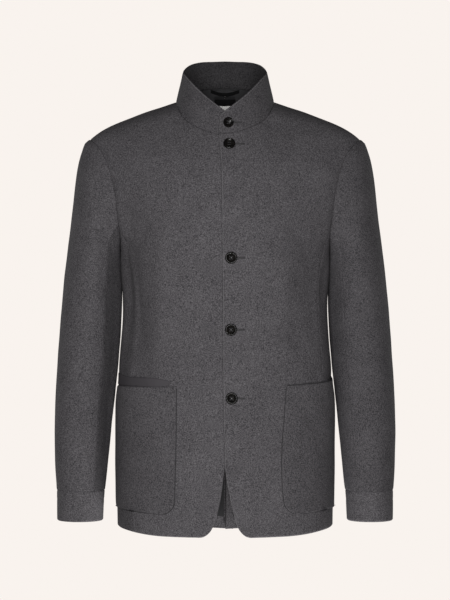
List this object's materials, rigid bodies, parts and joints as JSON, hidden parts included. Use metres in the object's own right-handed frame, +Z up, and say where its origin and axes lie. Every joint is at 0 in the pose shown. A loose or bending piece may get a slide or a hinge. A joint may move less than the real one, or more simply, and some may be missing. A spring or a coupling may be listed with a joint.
{
  "type": "stand-collar suit jacket",
  "caption": "Dark grey wool suit jacket with a stand collar, buttoned front, patch pockets and sewn cuffs, hollow and filled out as worn, open at neck, hem and cuffs.",
  "frame": {"origin": "midway between the points where the shoulder seams meet the collar, where the wearer's shoulders carry the jacket", "axes": "+Z up, the front faces -Y, +X is the wearer's left"},
  "size_m": [0.578, 0.2725, 0.8134],
  "materials": {
    "wool_cloth": "dark grey melange wool, softly milled",
    "lining_cloth": "black satin lining",
    "horn_button": "polished dark horn",
    "black_tape": "black woven tape",
    "pale_tab": "off-white woven tape"
  },
  "bodies": {
    "root": {"back_left": "wool_cloth", "back_lining_left": "lining_cloth", "back_lining_right": "lining_cloth", "back_right": "wool_cloth", "button_1": "horn_button", "button_2": "horn_button", "button_3": "horn_button", "button_4": "horn_button", "button_5": "horn_button", "collar": "wool_cloth", "collar_facing": "lining_cloth", "cuff_left": "wool_cloth", "cuff_right": "wool_cloth", "front_left": "wool_cloth", "front_right": "wool_cloth", "hanger_loop": "black_tape", "label_tab": "pale_tab", "neck_label": "black_tape", "pocket_facing_right": "lining_cloth", "pocket_left": "wool_cloth", "pocket_right": "wool_cloth", "side_panel_left": "wool_cloth", "side_panel_right": "wool_cloth", "sleeve_top_left": "wool_cloth", "sleeve_top_right": "wool_cloth", "sleeve_under_left": "wool_cloth", "sleeve_under_right": "wool_cloth"}
  },
  "joints": []
}
